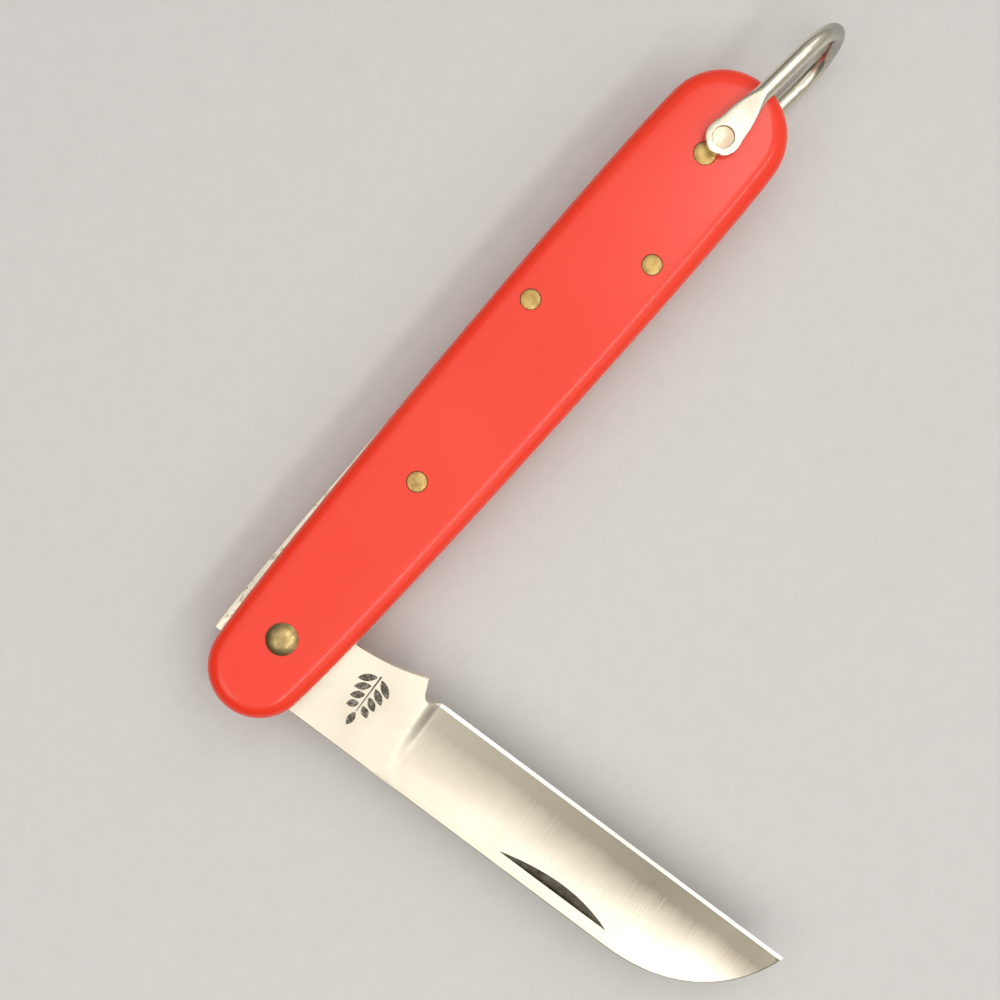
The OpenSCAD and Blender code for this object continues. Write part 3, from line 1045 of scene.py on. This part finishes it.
def bail_leg(leg_y, arch_x):
    """Sections of a leg above the handle, from its eye through the flattened spoon to the round wire."""
    wire_z = BAIL_TOP_Z - WIRE_R
    eye_z = FACE_Z + 0.05 + EYE_T / 2
    wire_from = 7.4
    eye_taper = 0.30
    sections = []
    for i in range(12):
        a = math.pi / 2 * (1 - i / 11 * 0.999)
        half_w = max(0.25, EYE_R * math.cos(a))
        sections.append((0.001 - EYE_R * math.sin(a), half_w, EYE_T / 2, 7.0))
    for i in range(1, 31):
        u = wire_from * i / 30
        t = u / wire_from
        narrow = smooth_step((u - 0.9) / (wire_from - 0.9)) ** 1.3
        half_w = EYE_R - eye_taper * smooth_step(u / 2) - (EYE_R - eye_taper - WIRE_R) * narrow
        half_t = EYE_T / 2 + (WIRE_R - EYE_T / 2) * smooth_step((t - 0.5) / 0.5)
        sections.append((u, half_w, half_t, 7.0 - 5.0 * smooth_step((t - 0.45) / 0.55)))
    for u in np.linspace(wire_from + 0.6, arch_x - 0.4, 8):
        sections.append((float(u), WIRE_R, WIRE_R, 2.0))
    leg = []
    for u, half_w, half_t, square in sections:
        t = smooth_step(u / wire_from)
        centre = Vector((u, leg_y * t, eye_z + (wire_z - eye_z) * t))
        leg.append((centre, Vector((0, 1, 0)), UP, half_w, half_t, square))
    return leg


def bail_sections():
    """The bail's cross-sections from the front eye round the loop to the rear eye.

    Each is (centre, width direction, thickness direction, half width, half thickness, squareness).
    """
    wire_z = BAIL_TOP_Z - WIRE_R
    arch_r = math.hypot(LEG_OFFSET, wire_z)
    arch_x = BAIL_L - arch_r
    front = bail_leg(LOOP_SHIFT + LEG_OFFSET, arch_x)
    loop = []
    across = Vector((0, LEG_OFFSET, wire_z)).normalized()
    side = Vector((0, wire_z, -LEG_OFFSET)).normalized()
    middle = Vector((arch_x, LOOP_SHIFT, 0))
    loop_steps = 40
    for i in range(loop_steps + 1):
        a = math.pi * i / loop_steps
        out = across * math.cos(a) + Vector((1, 0, 0)) * math.sin(a)
        loop.append((middle + arch_r * out, side, out, WIRE_R, WIRE_R, 2.0))
    flip = Matrix(((1, 0, 0), (0, -1, 0), (0, 0, -1)))
    rear = bail_leg(LEG_OFFSET - LOOP_SHIFT, arch_x)
    rear = [(flip @ c, w, -n, a, b, e) for c, w, n, a, b, e in reversed(rear)]
    return front + loop + rear


def superellipse(half_w, half_t, square, steps=32):
    """Points of a section that is an ellipse at squareness 2 and nearly a rectangle above it."""
    points = []
    for i in range(steps):
        a = 2 * math.pi * (i + 0.5) / steps
        c, s = math.cos(a), math.sin(a)
        r = (abs(c) ** square + abs(s) ** square) ** (-1 / square)
        points.append((half_w * r * c, half_t * r * s))
    return points


def make_bail(nickel):
    rings = []
    for centre, wide, thick, half_w, half_t, square in bail_sections():
        ring = [centre + wide * a + thick * b for a, b in superellipse(half_w, half_t, square)]
        rings.append(ring)
    bm = bmesh.new()
    skin_rings(bm, rings)
    bail = finish_mesh("bail_wire_loop", bm, 50)
    origin = Vector((0, 0))
    top_z = FACE_Z + EYE_T + 0.05
    drill(bail, [(origin, BAIL_SHANK_R + 0.04)])
    drill(bail, [(origin, RECESS_R)], top_z - DIMPLE, top_z + 3)
    drill(bail, [(origin, RECESS_R)], -top_z - 3, DIMPLE - top_z)
    turn = Matrix.Rotation(BAIL_ANGLE, 4, UP)
    bail.data.transform(Matrix.Translation(BAIL_PIN * MM) @ turn)
    bail.data.materials.append(nickel)
    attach(bail, "bail")
    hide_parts("bail")


# ---------------------------------------------------------------- floor, light and camera


def make_floor():
    half = 700
    z = cad_box[0].z / MM - FLOOR_GAP
    bm = bmesh.new()
    corners = ((-half, -half), (half, -half), (half, half), (-half, half))
    bm.faces.new([bm.verts.new((x, y, z)) for x, y in corners])
    floor = finish_mesh("floor", bm)
    floor.data.materials.append(pale_floor())


def soft_light(name, place, size, power, colour, target=(35, -15, 0)):
    """A rectangular soft light that faces the knife."""
    data = bpy.data.lights.new(name, "AREA")
    data.shape = "RECTANGLE"
    data.size, data.size_y = size[0] * MM, size[1] * MM
    data.energy = power
    data.color = colour
    obj = bpy.data.objects.new(name, data)
    obj.location = Vector(place) * MM
    obj.rotation_mode = "QUATERNION"
    obj.rotation_quaternion = (Vector(place) - Vector(target)).to_track_quat("Z", "Y")
    bpy.context.scene.collection.objects.link(obj)


def make_light():
    soft_light("overhead", (-40, 20, 420), (620, 620), 0.85, (1.0, 0.98, 0.94))
    soft_light("pivot_side", (-150, 40, 190), (90, 90), 0.04, (1.0, 0.96, 0.90))
    soft_light("side_strip", (40, -215, 380), (480, 44), 0.36, (1.0, 0.98, 0.95))
    soft_light("end_strip", (300, -10, 380), (44, 340), 0.22, (1.0, 0.98, 0.95))
    soft_light("low_side", (10, -370, 300), (260, 250), 0.12, (1.0, 0.98, 0.95))
    world = bpy.data.worlds.new("studio")
    bpy.context.scene.world = world
    world.use_nodes = True
    tree = world.node_tree
    background = tree.nodes["Background"]
    place = tree.nodes.new("ShaderNodeTexCoord")
    slope = tree.nodes.new("ShaderNodeVectorMath")
    slope.operation = "DOT_PRODUCT"
    slope.inputs[1].default_value = Vector((0.45, -0.2, 0.85)).normalized()
    ramp = tree.nodes.new("ShaderNodeValToRGB")
    ramp.color_ramp.elements[0].position = 0.0
    ramp.color_ramp.elements[0].color = (0.12, 0.12, 0.125, 1)
    ramp.color_ramp.elements[1].position = 1.0
    ramp.color_ramp.elements[1].color = (0.92, 0.90, 0.86, 1)
    tree.links.new(place.outputs["Generated"], slope.inputs[0])
    tree.links.new(slope.outputs["Value"], ramp.inputs["Fac"])
    tree.links.new(ramp.outputs["Color"], background.inputs["Color"])
    background.inputs["Strength"].default_value = 0.72


def make_camera():
    """Straight above the knife, with the handle running up to the right."""
    data = bpy.data.cameras.new("camera")
    data.sensor_width = 36
    data.lens = 57.6
    data.clip_start = 0.01
    camera = bpy.data.objects.new("camera", data)
    camera.location = Vector((29.8, -8.76, 197.2)) * MM
    camera.rotation_euler = (0, 0, math.radians(-48.97))
    bpy.context.scene.collection.objects.link(camera)
    bpy.context.scene.camera = camera
    bpy.context.scene.view_settings.view_transform = "Standard"


# ---------------------------------------------------------------- the whole knife


def make_handle():
    red = red_plastic()
    metal = liner_metal()
    front = make_scale("front_scale_moulded")
    rear = mirrored_z(front, "rear_scale_moulded")
    front_liner = make_liner("front_liner_sheet")
    rear_liner = mirrored_z(front_liner, "rear_liner_sheet")
    for piece, node, material, slot in (
        (front, "front_scale", red, "scale"),
        (rear, "rear_scale", red, "scale"),
        (front_liner, "front_liner", metal, "liner"),
        (rear_liner, "rear_liner", metal, "liner"),
    ):
        piece.data.materials.append(material)
        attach(piece, "handle")
        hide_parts(node)
    make_backspring(spring_steel())


make_handle()
make_blade()
pin_brass = brass("pin_brass", (0.58, 0.40, 0.15), (0.36, 0.24, 0.08), 0.45, 0.42)
pivot_brass = brass("pivot_brass", (0.50, 0.36, 0.16), (0.30, 0.235, 0.10), 0.42, 0.30)
nickel = nickel_plate("nickel_plate", (0.80, 0.75, 0.61), (0.64, 0.59, 0.47))
rivet_metal = nickel_plate("rivet_metal", (0.60, 0.46, 0.33), (0.50, 0.38, 0.27))
make_pins(pin_brass, pivot_brass, rivet_metal)
make_bail(nickel)
make_floor()
make_light()
make_camera()
